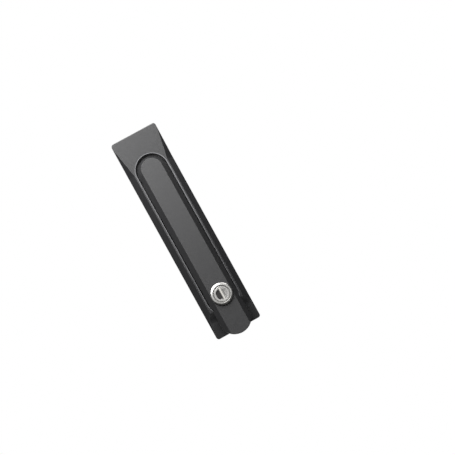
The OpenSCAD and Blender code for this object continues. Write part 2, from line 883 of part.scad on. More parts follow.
// A torsion spring between the spindle's ears. One leg stands on the collar, the other
// bears on the lever's roof. The legs leave the coil along its tangents.
module pop_spring() {
    steps = coil_steps * spring_turns;
    roof = (cavity_top_h - pin_h - wire_r) / cos(pop_angle) - press_play;
    tip = [-spring_reach, roof + spring_reach * tan(pop_angle)];
    foot = [spring_foot, collar_top - pin_h + wire_r + press_play];
    t0 = atan2(foot.y, foot.x) + acos(coil_r / norm(foot));
    t1 = atan2(tip.y, tip.x) - acos(coil_r / norm(tip)) + 360 * spring_turns;
    half_w = ear_in_x - wire_r - 2 * slide_gap;
    leg0 = sqrt(pow(norm(foot), 2) - pow(coil_r, 2));
    leg1 = sqrt(pow(norm(tip), 2) - pow(coil_r, 2));
    function along(t) = [0, -sin(t), cos(t)];
    function outward(t) = [0, cos(t), sin(t)];
    coil = [
        for (k = [0 : steps])
            let (t = t0 + (t1 - t0) * k / steps)
                [[half_w * (2 * k / steps - 1), 0, 0] + coil_r * outward(t), t]
    ];
    path = concat(
        [[coil[0][0] - leg0 * along(t0), t0]],
        coil,
        [[coil[steps][0] + leg1 * along(t1), t1]]
    );
    points = [
        for (p = path, s = [0 : wire_sides - 1])
            let (a = 360 * s / wire_sides)
                p[0] + wire_r * (cos(a) * outward(p[1]) + sin(a) * [1, 0, 0])
    ];
    last = len(path) - 1;
    faces = concat(
        [[for (s = [0 : wire_sides - 1]) wire_sides - 1 - s]],
        [
            for (k = [0 : last - 1], s = [0 : wire_sides - 1])
                let (next = (s + 1) % wire_sides)
                    [
                        k * wire_sides + s, k * wire_sides + next,
                        (k + 1) * wire_sides + next, (k + 1) * wire_sides + s,
                    ]
        ],
        [[for (s = [0 : wire_sides - 1]) last * wire_sides + s]]
    );
    color(STEEL) upright() at_spindle(pin_h) polyhedron(points, faces, convexity = 8);
}

// What is cut away round the ring's front to crown it
module ring_crown()
    rotate_extrude()
        difference() {
            translate([crown_in_r, ring_top - crown_r]) square(crown_r + cut);
            translate([crown_in_r, ring_top - crown_r]) circle(r = crown_r);
        }

// The groove between the ring and the plug, whose floor falls outward
module face_groove()
    difference() {
        disc(plug_r + groove_w, face_z - groove_t, far);
        translate([0, 0, face_z - groove_t])
            cylinder(r1 = plug_r + groove_w, r2 = plug_r, h = groove_fall);
    }

module lock_sleeve()
    color(NICKEL) upright() in_lever()
        difference() {
            union() {
                disc(sleeve_r, sleeve_low_h, flat_h + cut);
                difference() {
                    disc(ring_r, flat_h, ring_top);
                    ring_crown();
                }
            }
            disc(plug_bore_r, sleeve_low_h + lip_t, far);
            disc(plug_bore_r - lip_w, sleeve_low_h - cut, far);
            face_groove();
            for (turn = [0, 90])
                rotate(turn)
                    slab(
                        wafer_w + 2 * wafer_play, -channel_r, channel_r,
                        sleeve_low_h + lip_t, keyway_clear_z
                    );
            for (side = [0, 1])
                mirror([side, 0, 0])
                    translate([sleeve_flat_x, -sleeve_d, sleeve_clip_z - press_play])
                        cube([sleeve_d, 2 * sleeve_d, sleeve_clip_t + press_play]);
        }

module lock_seal()
    color(RUBBER) upright() in_lever()
        ring(seal_r, sleeve_r + press_play, flat_h - seal_t, flat_h);

module sleeve_clip() {
    fork_w = 2 * (sleeve_flat_x + press_play);
    color(STEEL) upright() in_lever()
        difference() {
            disc(sleeve_r + sleeve_clip_rim, sleeve_clip_z, lock_boss_z);
            intersection() {
                disc(sleeve_r + press_play, sleeve_clip_z - cut, lock_boss_z + cut);
                slab(fork_w, -far / 2, far / 2, sleeve_clip_z - cut, lock_boss_z + cut);
            }
            slab(fork_w, -far / 2, 0, sleeve_clip_z - cut, lock_boss_z + cut);
        }
}

// The slots across the plug, or the wafers in them
module wafer_stack(play)
    for (k = [0 : wafer_count - 1])
        slab(
            wafer_w + 2 * play, -plug_d, plug_d,
            keyway_low_z + wafer_pitch * (k + 0.5) - play,
            keyway_low_z + wafer_pitch * (k + 0.5) + wafer_t + play
        );

module lock_plug()
    color(NICKEL) upright() in_lever()
        difference() {
            union() {
                disc(plug_r, sleeve_low_h + lip_t + slide_gap, face_z);
                disc(plug_r - lip_w, tongue_z + tongue_t, face_z - cut);
                slab(tail_w, -tail_w / 2, tail_w / 2, tongue_z, sleeve_low_h);
            }
            disc(dial_r, face_z - dial_t, far);
            intersection() {
                disc(moon_r, face_z - moon_d, far);
                translate([flap_pivot_x - flap_t - moon_w, keyway_mid_y - moon_l / 2, 0])
                    cube([moon_w, moon_l, far]);
            }
            translate([stripe_x, keyway_mid_y - stripe_l / 2, face_z - 2 * dial_t])
                cube([stripe_w, stripe_l, cut]);
            translate([keyway_w, keyway_mid_y - keyway_l / 2, 0])
                disc(notch_r, face_z - 3 * dial_t, far);
            translate([stamp_x, stamp_y, 0])
                ring(stamp_r, stamp_r - stamp_w, face_z - 2 * dial_t, far);
            translate([0, keyway_mid_y - keyway_l / 2, keyway_low_z])
                cube([keyway_w, keyway_l, far]);
            translate([
                flap_pivot_x - flap_t / 2 - run_play, keyway_mid_y - keyway_l / 2, keyway_clear_z,
            ])
                cube([keyway_w - flap_pivot_x + flap_t / 2 + run_play, keyway_l, far]);
            translate([flap_pivot_x, keyway_mid_y, flap_pivot_z])
                rotate([90, 0, 0])
                    cylinder(
                        r = flap_t / 2 + run_play, h = keyway_l + 2 * axle_l + slide_gap,
                        center = true
                    );
            translate([flap_spring_x - 2 * flap_spring_r, keyway_mid_y - spring_room_l / 2, 0])
                translate([0, 0, flap_spring_z - 2 * flap_spring_r])
                    cube([cut, spring_room_l, 4 * flap_spring_r]);
            wafer_stack(wafer_play);
            disc(tongue_screw_r + press_play, tongue_z - cut, tongue_screw_top + slide_gap);
        }

module wafers()
    color(BRASS) upright() in_lever()
        difference() {
            intersection() {
                wafer_stack(0);
                disc(plug_r - run_play, 0, face_z);
            }
            translate([(keyway_w - window_w) / 2, keyway_mid_y - window_l / 2, 0])
                cube([window_w, window_l, face_z]);
        }

module keyway_flap()
    color(NICKEL) upright() in_lever()
        translate([flap_pivot_x, keyway_mid_y, flap_pivot_z]) {
            rotate([90, 0, 0]) cylinder(r = flap_t / 2, h = keyway_l + 2 * axle_l, center = true);
            plate_l = keyway_l - 3 * slide_gap;
            translate([0, -plate_l / 2, press_play - flap_t / 2])
                cube([keyway_w - flap_pivot_x - slide_gap, plate_l, flap_t - 2 * press_play]);
        }

// A wire along the keyway whose short leg holds the flap shut
module flap_spring() {
    leg_rise = flap_pivot_z - flap_t / 2 - 2 * flap_spring_r - flap_spring_z;
    leg_run = flap_leg_x - flap_spring_x;
    color(STEEL) upright() in_lever()
        translate([flap_spring_x, keyway_mid_y, flap_spring_z]) {
            rotate([90, 0, 0])
                cylinder(r = flap_spring_r, h = spring_room_l - 2 * slide_gap, center = true);
            rotate([0, atan2(leg_run, leg_rise), 0])
                cylinder(r = flap_spring_r, h = norm([leg_run, leg_rise]));
        }
}

module lock_tongue()
    color(STEEL) upright() in_lever()
        difference() {
            union() {
                disc(tongue_hub_r, tongue_z, tongue_z + tongue_t);
                intersection() {
                    disc(tongue_reach, tongue_z, tongue_z + tongue_t);
                    slab(tongue_w, 0, far, 0, far);
                }
            }
            slab(
                tail_w + 2 * press_play, -tail_w / 2 - press_play, tail_w / 2 + press_play,
                tongue_z - cut, tongue_z + tongue_t + cut
            );
        }

module tongue_screw()
    color(STEEL) upright() in_lever()
        difference() {
            union() {
                disc(tongue_head_r + tail_clamp, tongue_head_z, tongue_z);
                disc(tongue_screw_r, tongue_head_z, tongue_screw_top);
            }
            translate([0, 0, tongue_head_z - cut])
                cylinder(r = socket_r, h = cut + tongue_head_h / 2, $fn = 6);
        }

dish_body();
panel_gasket();
thread_inserts();
spindle_bush();
spindle();
spindle_oring();
thrust_washer();
retaining_ring();
stop_disc();
rod_plate();
rod_pins();
plate_washer();
plate_screw();
handle_lever();
hinge_pin();
pop_spring();
lock_sleeve();
lock_seal();
sleeve_clip();
lock_plug();
wafers();
keyway_flap();
flap_spring();
lock_tongue();
tongue_screw();
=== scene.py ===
"""The looks of a slim swing-handle lock for a rack or cabinet door.

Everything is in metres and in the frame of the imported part: x runs across the door, z up
the door, and the lock faces -y. The handle stands sprung out of its pocket.
"""

import json
import logging
import math
from collections.abc import Mapping, Sequence
from dataclasses import dataclass, field
from enum import Enum

import bmesh
import bpy
from mathutils import Matrix, Vector


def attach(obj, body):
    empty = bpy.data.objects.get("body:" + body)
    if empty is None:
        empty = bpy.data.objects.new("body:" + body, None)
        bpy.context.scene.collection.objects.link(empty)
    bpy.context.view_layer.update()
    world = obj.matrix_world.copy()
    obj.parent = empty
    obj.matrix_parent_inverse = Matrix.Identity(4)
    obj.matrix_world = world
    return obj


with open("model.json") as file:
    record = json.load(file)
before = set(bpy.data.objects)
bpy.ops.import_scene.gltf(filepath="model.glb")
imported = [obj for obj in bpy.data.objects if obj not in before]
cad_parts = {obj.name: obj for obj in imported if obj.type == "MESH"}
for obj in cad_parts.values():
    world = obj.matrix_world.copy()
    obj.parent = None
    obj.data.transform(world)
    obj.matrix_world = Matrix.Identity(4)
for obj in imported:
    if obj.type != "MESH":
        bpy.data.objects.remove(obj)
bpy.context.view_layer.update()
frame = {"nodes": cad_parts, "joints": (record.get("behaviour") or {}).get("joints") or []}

LOG = logging.getLogger("swing_handle")

MM = 0.001
ZERO = (0.0, 0.0, 0.0)
WHITE = (1.0, 1.0, 1.0, 1.0)
Colour = tuple[float, float, float]
Point = tuple[float, float, float]


class Socket:
    """A number in a shader. Python's operators on it add Math nodes."""

    def __init__(self, graph: "Graph", link: bpy.types.NodeSocket | None) -> None:
        """Keeps the graph and the output that carries the number.

        Args:
            graph: The graph that the number belongs to.
            link: The output socket that carries it, or None for a node without outputs.
        """
        self.graph = graph
        self.link = link

    def _math(self, operation: str, first: "Number", second: "Number") -> "Socket":
        """Adds one Math node.

        Args:
            operation: The node's operation.
            first: The left-hand number.
            second: The right-hand number.

        Returns:
            The result.
        """
        return self.graph.add("ShaderNodeMath", {"operation": operation}, {0: first, 1: second})

    def __add__(self, other: "Number") -> "Socket":
        """Returns self + other."""
        return self._math("ADD", self, other)

    def __radd__(self, other: "Number") -> "Socket":
        """Returns other + self."""
        return self._math("ADD", other, self)

    def __sub__(self, other: "Number") -> "Socket":
        """Returns self - other."""
        return self._math("SUBTRACT", self, other)

    def __rsub__(self, other: "Number") -> "Socket":
        """Returns other - self."""
        return self._math("SUBTRACT", other, self)

    def __mul__(self, other: "Number") -> "Socket":
        """Returns self * other."""
        return self._math("MULTIPLY", self, other)

    def __rmul__(self, other: "Number") -> "Socket":
        """Returns other * self."""
        return self._math("MULTIPLY", other, self)

    def at_most(self, other: "Number") -> "Socket":
        """Returns the smaller of self and other."""
        return self._math("MINIMUM", self, other)

    def at_least(self, other: "Number") -> "Socket":
        """Returns the larger of self and other."""
        return self._math("MAXIMUM", self, other)


Number = Socket | float


class Graph:
    """The nodes of one material or world."""

    NODE_GAP = 200
    BEVEL_SAMPLES = 8

    def __init__(self, tree: bpy.types.NodeTree) -> None:
        """Empties the tree.

        Args:
            tree: The node tree to fill.
        """
        self.tree = tree
        self.tree.nodes.clear()

    def add(
        self,
        kind: str,
        settings: Mapping[str, object] | None = None,
        values: Mapping[int | str, object] | None = None,
        output: int | str = 0,
    ) -> Socket:
        """Adds any node.

        Args:
            kind: The node's type.
            settings: Its settings, set first. The stops of a colour ramp come as "stops".
            values: A value or a Socket for each input, by its name or number.
            output: The output to return.

        Returns:
            That output.
        """
        node = self.tree.nodes.new(kind)
        node.location = (self.NODE_GAP * len(self.tree.nodes), 0)
        for key, value in (settings or {}).items():
            if key == "stops":
                self._set_stops(node.color_ramp, value)
            else:
                setattr(node, key, value)
        for key, value in (values or {}).items():
            if isinstance(value, Socket):
                self.tree.links.new(value.link, node.inputs[key])
            else:
                node.inputs[key].default_value = value
        return Socket(self, node.outputs[output] if len(node.outputs) else None)

    @staticmethod
    def _set_stops(ramp: bpy.types.ColorRamp, stops: Sequence[tuple[float, float]]) -> None:
        """Gives a colour ramp its grey stops.

        Args:
            ramp: The ramp.
            stops: A position and a grey level for each stop.
        """
        while len(ramp.elements) < len(stops):
            ramp.elements.new(1.0)
        for element, (position, level) in zip(ramp.elements, stops, strict=True):
            element.position = position
            element.color = (level, level, level, 1.0)

    def mix(self, factor: Number, first: Socket | Colour, second: Socket | Colour) -> Socket:
        """Mixes two colours.

        Args:
            factor: 0 for the first colour and 1 for the second.
            first: A colour.
            second: A colour.

        Returns:
            The mixed colour.
        """
        ends = [end if isinstance(end, Socket) else (*end, 1.0) for end in (first, second)]
        return self.add(
            "ShaderNodeMix", {"data_type": "RGBA"}, {0: factor, 6: ends[0], 7: ends[1]}, 2
        )

    def vector(
        self,
        operation: str,
        first: Socket | Point,
        second: Socket | Point = ZERO,
        output: int = 0,
    ) -> Socket:
        """Adds one Vector Math node.

        Args:
            operation: The node's operation.
            first: A vector.
            second: A vector.
            output: 0 for a vector, 1 for a number.

        Returns:
            The result.
        """
        return self.add(
            "ShaderNodeVectorMath", {"operation": operation}, {0: first, 1: second}, output
        )

    def length(self, arm: Socket) -> Socket:
        """Returns the length of a vector."""
        return self.vector("LENGTH", arm, output=1)

    def along(self, arm: Socket, axis: Socket | Point) -> Socket:
        """Returns how far a vector reaches along an axis of length 1."""
        return self.vector("DOT_PRODUCT", arm, axis, output=1)

    def place(self) -> Socket:
        """Returns the place on the part, in the frame of the object itself."""
        return self.add("ShaderNodeTexCoord", output="Object")

    def noise(self, where: Socket, cell: float, detail: float) -> Socket:
        """Adds noise.

        Args:
            where: The place.
            cell: The rough size of one lump, in metres.
            detail: The number of finer layers.

        Returns:
            A level from 0 to 1.
        """
        return self.add(
            "ShaderNodeTexNoise", None, {"Vector": where, "Scale": 1.0 / cell, "Detail": detail}
        )

    def rounded(self, radius: float) -> Socket:
        """Returns the normal of a surface whose edges are rounded to a radius in metres."""
        return self.add("ShaderNodeBevel", {"samples": self.BEVEL_SAMPLES}, {"Radius": radius})

    def edge(self, reach: float) -> Socket:
        """Finds outer and inner edges.

        Args:
            reach: How far from an edge the mask reaches, in metres.

        Returns:
            0 on flat faces, and more towards an edge.
        """
        normal = self.add("ShaderNodeNewGeometry", output="Normal")
        return 1.0 - self.along(self.rounded(reach), normal)

    def bump(self, height: Socket, depth: float, edge: float) -> Socket:
        """Turns a height into a normal.

        Args:
            height: A level from 0 to 1.
            depth: The height of a level of 1, in metres.
            edge: The radius of the rounded edges, in metres.

        Returns:
            The normal.
        """
        return self.add(
            "ShaderNodeBump", None,
            {"Distance": depth, "Height": height, "Normal": self.rounded(edge)},
        )

    def surface(self, values: Mapping[int | str, object]) -> None:
        """Adds the surface shader and the output of a material.

        Args:
            values: The inputs of the shader.
        """
        shader = self.add("ShaderNodeBsdfPrincipled", None, values)
        self.add("ShaderNodeOutputMaterial", None, {"Surface": shader})


@dataclass(frozen=True)
class Finish:
    """What every finish has.

    The fields whose names end in _dulls say how far a level changes the roughness between
    its lowest and its highest value.
    """

    name: str
    colour: Colour
    roughness: float
    edge: float = 0.12 * MM

    def material(self) -> bpy.types.Material:
        """Returns a new material in this finish."""
        material = bpy.data.materials.new(self.name)
        material.use_nodes = True
        material.diffuse_color = (*self.colour, 1.0)
        self.dress(Graph(material.node_tree))
        return material

    def dress(self, graph: Graph) -> None:
        """Fills the material's graph.

        Args:
            graph: The empty graph.
        """
        raise NotImplementedError

    def shade(self, graph: Graph, level: Socket, spread: float) -> Socket:
        """Varies the finish's colour.

        Args:
            graph: The graph.
            level: A level from 0 to 1.
            spread: How far the colour goes below and above its mean, as a share of it.

        Returns:
            The colour.
        """
        low, high = (
            tuple(min(1.0, channel * share) for channel in self.colour)
            for share in (1.0 - spread, 1.0 + spread)
        )
        return graph.mix(level, low, high)

    def dulled(self, *causes: tuple[float, Socket]) -> Socket:
        """Varies the finish's roughness about its mean.

        Args:
            causes: How far each cause changes the roughness, and its level from 0 to 1.

        Returns:
            The roughness.
        """
        roughness: Number = self.roughness
        for change, level in causes:
            roughness = roughness + change * (level - 0.5)
        return roughness


@dataclass(frozen=True)
class TexturedSkin(Finish):
    """A skin with a fine even texture, such as powder coat or spark-eroded plastic.

    Clouds and patches are so many grains wide. The edges take a lighter colour, partly wear and
    partly painted highlight, and the patches thin it out.
    """

    edge: float = 0.35 * MM
    grain: float = 0.35 * MM
    depth: float = 0.02 * MM
    cloud_grains: float = 60.0
    patch_grains: float = 16.0
    mottle: float = 0.12
    # The edges' lighter colour, its share and reach: partly wear, partly painted highlight.
    worn_and_highlit: Colour = (0.16, 0.16, 0.16)
    wear_and_highlight: float = 0.35
    wear_and_highlight_reach: float = 0.5 * MM
    gain: float = 3.0
    thinnest: float = 0.5
    specular: float = 0.4
    grain_dulls: float = 0.16
    cloud_dulls: float = 0.10
    edge_polish: float = 0.12

    def worn_and_highlit_share(self, graph: Graph, place: Socket, edge: Socket, patches: Socket) -> Socket:
        """Finds how far the skin has its lighter edge colour, which is partly wear and partly
        painted highlight.

        Args:
            graph: The graph.
            place: The place on the part.
            edge: The mask of its edges.
            patches: The level of the patches.

        Returns:
            A level from 0 to 1, above 0 along the edges alone.
        """
        return edge * self.wear_and_highlight

    def dress(self, graph: Graph) -> None:
        """Adds the grain, a faint mottle, and along the edges a smoother finish with a lighter
        colour that is partly wear and partly painted highlight.

        Args:
            graph: The empty graph.
        """
        place = graph.place()
        grain = graph.noise(place, self.grain, detail=3.0)
        cloud = graph.noise(place, self.cloud_grains * self.grain, detail=3.0)
        patches = graph.noise(place, self.patch_grains * self.grain, detail=4.0)
        edge = graph.edge(self.wear_and_highlight_reach) * self.gain * (self.thinnest + patches)
        edge = edge.at_most(1.0)
        # The lighter edge colour: partly wear, partly painted highlight.
        worn_and_highlit = self.worn_and_highlit_share(graph, place, edge, patches)
        dulled = self.dulled((self.grain_dulls, grain), (self.cloud_dulls, cloud))
        graph.surface({
            "Base Color": graph.mix(worn_and_highlit, self.shade(graph, cloud, self.mottle), self.worn_and_highlit),
            "Roughness": dulled - self.edge_polish * edge,
            "Specular IOR Level": self.specular,
            "Normal": graph.bump(grain, self.depth, self.edge),
        })


@dataclass(frozen=True)
class LippedSkin(TexturedSkin):
    """A textured skin with a painted highlight, a lighter colour, along the lip of a long
    pocket.

    The pocket has the width 2 * pocket_r and a round end about pocket_low and pocket_high.
    The lip is lip_w wide, goes down by lip_fall, and fades out from lip_end upwards.
    """

    BEYOND = 1.0

    pocket_r: float = 12.75 * MM
    pocket_low: float = -57.3 * MM
    pocket_high: float = 53.5 * MM
    rim_y: float = -8.0 * MM
    lip_w: float = 0.75 * MM
    lip_fall: float = 0.5 * MM
    side_fade: float = 0.25 * MM
    lip_end: float = -64.0 * MM
    end_fade: float = 1.5 * MM
    # The painted highlight along the lip: its strength, and how the patches vary it.
    lip_highlight: float = 0.75
    lip_thinnest: float = 0.7
    lip_patches: float = 0.4

    def lip(self, graph: Graph, place: Socket) -> Socket:
        """Finds the lip, where the highlight is painted.

        Args:
            graph: The graph.
            place: The place on the part.

        Returns:
            A level that falls from the pocket's edge outwards, to the back and at its end.
        """
        low = (0.0, -self.BEYOND, self.pocket_low)
        high = (0.0, self.BEYOND, self.pocket_high)
        spine = graph.vector("MINIMUM", graph.vector("MAXIMUM", place, low), high)
        out = graph.length(graph.vector("SUBTRACT", place, spine))
        y = graph.along(place, (0.0, 1.0, 0.0))
        z = graph.along(place, (0.0, 0.0, 1.0))
        near = (self.pocket_r + self.lip_w - out) * (1.0 / self.side_fade)
        front = (self.rim_y + self.lip_fall - y) * (1.0 / self.side_fade)
        above = (z - self.lip_end) * (1.0 / self.end_fade)
        level = near.at_least(0.0).at_most(front.at_least(0.0)).at_most(above.at_least(0.0))
        return level.at_most(1.0) * self.lip_highlight

    def worn_and_highlit_share(self, graph: Graph, place: Socket, edge: Socket, patches: Socket) -> Socket:
        """Finds how far the skin has its lighter colour: partly wear and partly painted
        highlight along the edges, painted highlight along the lip.

        Args:
            graph: The graph.
            place: The place on the part.
            edge: The mask of its edges.
            patches: The level of the patches.

        Returns:
            A level from 0 to 1, above 0 along the edges and the lip.
        """
        # Painted highlight along the pocket's lip.
        lip = self.lip(graph, place) * (self.lip_thinnest + self.lip_patches * patches)
        return super().worn_and_highlit_share(graph, place, edge, patches).at_least(lip)


@dataclass(frozen=True)
class Turned(Finish):
    """Metal that was turned about an axis, plated or bare. Its deep recesses get painted shade.

    The axis runs into the metal, and recesses are measured along it from the centre: the
    painted shade begins at sunk_from and has its full share, sunk, from sunk_to on.
    """

    centre: Point = ZERO
    axis: Point = (0.0, 1.0, 0.0)
    pitch: float = 0.12 * MM
    depth: float = 0.004 * MM
    dull_cell: float = 3 * MM
    dull_spread: float = 0.07
    dull_dulls: float = 0.10
    ring_dulls: float = 0.10
    specular: float = 0.2
    # Painted shade in the recesses: its share, the depths where it begins and is full, its
    # colour and how far it dulls.
    sunk: float = 0.0
    sunk_from: float = 0.42 * MM
    sunk_to: float = 0.72 * MM
    recess_shade_colour: Colour = (0.014, 0.013, 0.012)
    recess_shade_dulls: float = 0.3

    def dress(self, graph: Graph) -> None:
        """Adds the rings that the tool leaves, a few dull patches and painted shade in the deep
        recesses.

        Args:
            graph: The empty graph.
        """
        place = graph.place()
        arm = graph.vector("SUBTRACT", place, self.centre)
        radius = graph.length(graph.vector("CROSS_PRODUCT", arm, self.axis))
        rings = graph.add(
            "ShaderNodeTexNoise", {"noise_dimensions": "1D"},
            {"W": radius, "Scale": 1.0 / self.pitch, "Detail": 2.0},
        )
        dull = graph.noise(place, self.dull_cell, detail=4.0)
        colour = self.shade(graph, dull, self.dull_spread)
        roughness = self.dulled((self.dull_dulls, dull), (self.ring_dulls, rings))
        metallic: Number = 1.0
        # Painted shade: with depth below the face the colour darkens and grows duller and less
        # metallic.
        if self.sunk:
            below = graph.along(arm, self.axis) - self.sunk_from
            share = below * (1.0 / (self.sunk_to - self.sunk_from))
            painted_shade = share.at_least(0.0).at_most(1.0) * self.sunk
            colour = graph.mix(painted_shade, colour, self.recess_shade_colour)
            roughness = roughness + self.recess_shade_dulls * painted_shade
            metallic = 1.0 - painted_shade
        graph.surface({
            "Base Color": colour,
            "Metallic": metallic,
            "Roughness": roughness,
            "Specular IOR Level": self.specular,
            "Normal": graph.bump(rings, self.depth, self.edge),
        })


@dataclass(frozen=True)
class Plated(Finish):
    """Stamped or bent steel with a thin plating, rolled along z."""

    stretch: Point = (1.0, 1.0, 0.08)
    roll_cell: float = 0.25 * MM
    roll_spread: float = 0.08
    roll_dulls: float = 0.08
    depth: float = 0.006 * MM
    cloud_cell: float = 5 * MM
    cloud_dulls: float = 0.14
    tint: Colour = (0.62, 0.60, 0.50)
    tint_share: float = 0.35
    speck: Colour = (0.20, 0.20, 0.21)
    speck_share: float = 0.35
    speck_cell: float = 0.6 * MM
    speck_stops: tuple[tuple[float, float], ...] = ((0.66, 0.0), (0.74, 1.0))

    def dress(self, graph: Graph) -> None:
        """Adds the rolling marks, the tint of the passivation and dark specks.

        Args:
            graph: The empty graph.
        """
        place = graph.place()
        stretched = graph.vector("MULTIPLY", place, self.stretch)
        rolled = graph.noise(stretched, self.roll_cell, detail=3.0)
        cloud = graph.noise(place, self.cloud_cell, detail=4.0)
        specks = graph.add(
            "ShaderNodeValToRGB", {"stops": self.speck_stops},
            {"Fac": graph.noise(place, self.speck_cell, detail=2.0)},
        )
        plain = self.shade(graph, rolled, self.roll_spread)
        tinted = graph.mix(cloud * self.tint_share, plain, self.tint)
        graph.surface({
            "Base Color": graph.mix(specks * self.speck_share, tinted, self.speck),
            "Metallic": 1.0,
            "Roughness": self.dulled((self.cloud_dulls, cloud), (self.roll_dulls, rolled)),
            "Normal": graph.bump(rolled, self.depth, self.edge),
        })


@dataclass(frozen=True)
class Moulded(Finish):
    """Rubber or unfilled plastic straight from the mould."""

    cell: float = 0.5 * MM
    cell_dulls: float = 0.06
    depth: float = 0.01 * MM
    bloom: float = 0.25
    bloom_cell: float = 7 * MM
    bloom_dulls: float = 0.12

    def dress(self, graph: Graph) -> None:
        """Adds a soft relief and a pale bloom.

        Args:
            graph: The empty graph.
        """
        place = graph.place()
        relief = graph.noise(place, self.cell, detail=4.0)
        bloom = graph.noise(place, self.bloom_cell, detail=5.0)
        graph.surface({
            "Base Color": self.shade(graph, bloom, self.bloom),
            "Roughness": self.dulled((self.bloom_dulls, bloom), (self.cell_dulls, relief)),
            "Normal": graph.bump(relief, self.depth, self.edge),
        })


class Tone(Enum):
    """The colours of the lock, in linear light."""

    DISH = (0.020, 0.020, 0.021)
    LEVER = (0.026, 0.026, 0.027)
    RUBBER = (0.010, 0.010, 0.010)
    ACETAL = (0.72, 0.71, 0.67)
    NICKEL = (0.46, 0.455, 0.44)
    BRIGHT_NICKEL = (0.68, 0.67, 0.64)
    ZINC = (0.42, 0.43, 0.44)
    SPRING = (0.34, 0.35, 0.36)
    BRASS = (0.70, 0.53, 0.24)


@dataclass
class MeshMaker:
    """Collects the vertices and faces of one new piece."""

    name: str
    points: list[Point] = field(default_factory=list)
    faces: list[tuple[int, ...]] = field(default_factory=list)

    def tube(self, rings: Sequence[Sequence[Point]]) -> None:
        """Adds a closed skin through a row of rings of equal length, and fills both ends.

        Args:
            rings: The rings in order.
        """
        start = len(self.points)
        count = len(rings[0])
        last = start + (len(rings) - 1) * count
        for ring in rings:
            self.points.extend(ring)
        for low in range(start, last, count):
            for k in range(count):
                following = (k + 1) % count
                self.faces.append((low + k, low + following,
                                   low + count + following, low + count + k))
        self.faces.append(tuple(start + k for k in reversed(range(count))))
        self.faces.append(tuple(last + k for k in range(count)))

    def build(self, material: bpy.types.Material, body: str, slot: str) -> None:
        """Makes the object, gives it its finish and lets it ride on its body.

        Args:
            material: The finish.
            body: The CAD body that it moves with.
            slot: Not used.
        """
        mesh = bpy.data.meshes.new(self.name)
        mesh.from_pydata(self.points, [], self.faces)
        work = bmesh.new()
        work.from_mesh(mesh)
        bmesh.ops.recalc_face_normals(work, faces=work.faces)
        work.to_mesh(mesh)
        work.free()
        mesh.shade_flat()
        mesh.materials.append(material)
        piece = bpy.data.objects.new(self.name, mesh)
        bpy.context.scene.collection.objects.link(piece)
        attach(piece, body)
        LOG.info("made %s with %d faces", self.name, len(self.faces))


def dress_node(name: str, finish: Finish) -> None:
    """Gives a CAD node its finish.

    Args:
        name: The node.
        finish: The finish.
    """
    node = frame["nodes"][name]
    node.data.materials.clear()
    node.data.materials.append(finish.material())
    LOG.info("dressed %s in %s", name, finish.name)


@dataclass
class Dish:
    """The housing on the door, with its gasket, bush and thread inserts."""

    fixing_z: float = 69.5 * MM
    insert_y: tuple[float, float] = (3.7 * MM, 10.8 * MM)
    bore_r: float = 2.13 * MM
    thread_height: float = 0.14 * MM
    bore_cover: float = 0.03 * MM
    thread_pitch: float = 0.8 * MM
    flank_share: float = 0.32
    runout_share: float = 0.25
    runout_low: float = 0.05
    steps_a_turn: int = 28

    def build(self) -> None:
        """Dresses the dish's nodes and cuts the threads of the inserts."""
        # The dish's edges get a lighter colour, partly wear and mostly painted highlight, and
        # the pocket's lip a painted highlight.
        dress_node("dish_body", LippedSkin(
            "dish nylon", Tone.DISH.value, roughness=0.48, grain=0.30 * MM, depth=0.026 * MM,
            worn_and_highlit=(0.24, 0.24, 0.25), wear_and_highlight=0.6, gain=4.0, specular=0.5,
        ))
        dress_node("panel_gasket", Moulded("gasket rubber", Tone.RUBBER.value, roughness=0.75))
        dress_node("spindle_bush", Moulded(
            "bush acetal", Tone.ACETAL.value, roughness=0.38, depth=0.004 * MM, bloom=0.05,
        ))
        brass = Turned(
            "insert brass", Tone.BRASS.value, roughness=0.30, centre=(0.0, 0.0, self.fixing_z),
        )
        dress_node("thread_inserts", brass)
        self._threads(brass)

    def _threads(self, brass: Turned) -> None:
        """Winds the threads inside both inserts, with a run-out at each end.

        Args:
            brass: The inserts' finish.
        """
        maker = MeshMaker("insert_threads")
        first, last = self.insert_y
        count = int((last - first) / self.thread_pitch * self.steps_a_turn)
        runout = self.runout_share * self.steps_a_turn
        half = self.flank_share * self.thread_pitch
        for side in (-1, 1):
            rings = []
            for k in range(count + 1):
                angle = 2 * math.pi * k / self.steps_a_turn
                y = first + (last - first) * k / count
                share = max(min(1.0, k / runout, (count - k) / runout), self.runout_low)
                crest = self.bore_r - self.bore_cover - self.thread_height * share
                rings.append([
                    (r * math.cos(angle), y + shift, side * self.fixing_z + r * math.sin(angle))
                    for r, shift in ((self.bore_r, -half), (crest, 0.0), (self.bore_r, half))
                ])
            maker.tube(rings)
        maker.build(brass.material(), "dish", "brass")


@dataclass
class SpindleStack:
    """The spindle and what turns with it behind the door."""

    centre: Point = (0.0, 0.0, 53.5 * MM)

    def build(self) -> None:
        """Dresses the spindle, its washers, the rod plate and the pop-out spring."""
        turned = Turned("turned zinc", Tone.ZINC.value, roughness=0.34, centre=self.centre)
        plated = Plated("zinc plate", Tone.ZINC.value, roughness=0.36)
        bare = Plated(
            "spring steel", Tone.SPRING.value, roughness=0.32, tint=(0.25, 0.24, 0.23)
        )
        for name in ("spindle", "thrust_washer", "plate_washer", "rod_pins"):
            dress_node(name, turned)
        for name in ("stop_disc", "rod_plate", "plate_screw"):
            dress_node(name, plated)
        for name in ("retaining_ring", "pop_spring"):
            dress_node(name, bare)
        dress_node("spindle_oring", Moulded("ring rubber", Tone.RUBBER.value, roughness=0.45))


@dataclass
class Lever:
    """The lever that the hand takes, on its hinge pin."""

    coat_grain: float = 0.34 * MM
    coat_depth: float = 0.030 * MM

    def build(self) -> None:
        """Dresses the lever and the pin."""
        dress_node("handle_lever", TexturedSkin(
            "lever powder coat", Tone.LEVER.value, roughness=0.47,
            grain=self.coat_grain, depth=self.coat_depth,
        ))
        dress_node("hinge_pin", Plated("pin steel", Tone.SPRING.value, roughness=0.28))


